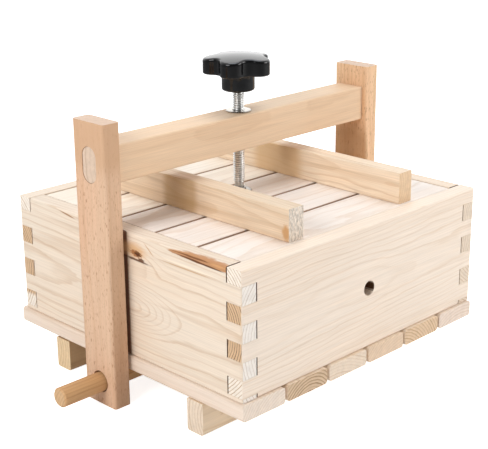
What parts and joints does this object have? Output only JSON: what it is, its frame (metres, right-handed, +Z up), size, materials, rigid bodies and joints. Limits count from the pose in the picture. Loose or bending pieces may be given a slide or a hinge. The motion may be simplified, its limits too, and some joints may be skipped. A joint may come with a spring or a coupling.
{
  "type": "cheese press",
  "caption": "Wooden cheese press: finger-jointed box on a slatted base, slatted lid pushed down by a star-knob screw in a crossbar yoke held by a loose dowel.",
  "frame": {"origin": "centre of the overall box at table height, under the box's middle", "axes": "+X along the crossbar and dowel, +Y from the drain-hole wall to the back wall, +Z up"},
  "size_m": [0.416, 0.282, 0.2698],
  "materials": {
    "pine_box": "planed, unfinished pine or spruce",
    "pine_lid": "planed, unfinished pine",
    "tan_softwood": "planed, darker softwood",
    "beech": "planed beech with short flecks",
    "honey_dowel": "smooth hardwood rod",
    "zinc_plated_steel": "bright zinc plate",
    "fastener_steel": "zinc-plated fastener",
    "black_plastic": "glossy moulded plastic"
  },
  "bodies": {
    "base_and_yoke": {"base_slat_1": "pine_box", "base_slat_2": "pine_box", "base_slat_3": "pine_box", "base_slat_4": "pine_box", "base_slat_5": "pine_box", "base_slat_6": "pine_box", "front_foot": "tan_softwood", "back_foot": "tan_softwood", "base_nail_front_1": "fastener_steel", "base_nail_front_2": "fastener_steel", "base_nail_front_3": "fastener_steel", "base_nail_front_4": "fastener_steel", "base_nail_front_5": "fastener_steel", "base_nail_front_6": "fastener_steel", "base_nail_back_1": "fastener_steel", "base_nail_back_2": "fastener_steel", "base_nail_back_3": "fastener_steel", "base_nail_back_4": "fastener_steel", "base_nail_back_5": "fastener_steel", "base_nail_back_6": "fastener_steel", "left_upright": "beech", "right_upright": "beech", "crossbar": "tan_softwood", "threaded_insert": "zinc_plated_steel"},
    "box": {"front_wall": "pine_box", "back_wall": "pine_box", "left_wall": "pine_box", "right_wall": "pine_box"},
    "lid": {"lid_slat_1": "pine_lid", "lid_slat_2": "pine_lid", "lid_slat_3": "pine_lid", "lid_slat_4": "pine_lid", "lid_slat_5": "pine_lid", "lid_batten_left": "tan_softwood", "lid_batten_right": "tan_softwood", "lid_screw_left_1": "fastener_steel", "lid_screw_left_2": "fastener_steel", "lid_screw_left_3": "fastener_steel", "lid_screw_left_4": "fastener_steel", "lid_screw_left_5": "fastener_steel", "lid_screw_right_1": "fastener_steel", "lid_screw_right_2": "fastener_steel", "lid_screw_right_3": "fastener_steel", "lid_screw_right_4": "fastener_steel", "lid_screw_right_5": "fastener_steel", "pressure_plate": "zinc_plated_steel", "plate_screw_1": "fastener_steel", "plate_screw_2": "fastener_steel"},
    "screw_and_knob": {"screw": "zinc_plated_steel", "knob": "black_plastic", "knob_insert": "zinc_plated_steel"},
    "dowel_pin": {"dowel": "honey_dowel"}
  },
  "joints": [
    {"name": "box_lift", "type": "slide", "parent": "base_and_yoke", "child": "box", "axis": [0, 0, 1], "range_m": [0, 0.036]},
    {"name": "press_travel", "type": "slide", "parent": "base_and_yoke", "child": "lid", "axis": [0, 0, 1], "range_m": [-0.016, 0.013]},
    {"name": "screw_turn", "type": "hinge", "parent": "lid", "child": "screw_and_knob", "pos_m": [-0.0035, 0.0065, 0.2], "axis": [0, 0, 1], "range_deg": [-2881, 2341]},
    {"name": "dowel_pull", "type": "slide", "parent": "base_and_yoke", "child": "dowel_pin", "axis": [-1, 0, 0], "range_m": [0, 0.375]}
  ],
  "couplings": [
    {"joint": "screw_turn", "follows": "press_travel", "rad_per_m": 3141.6}
  ]
}
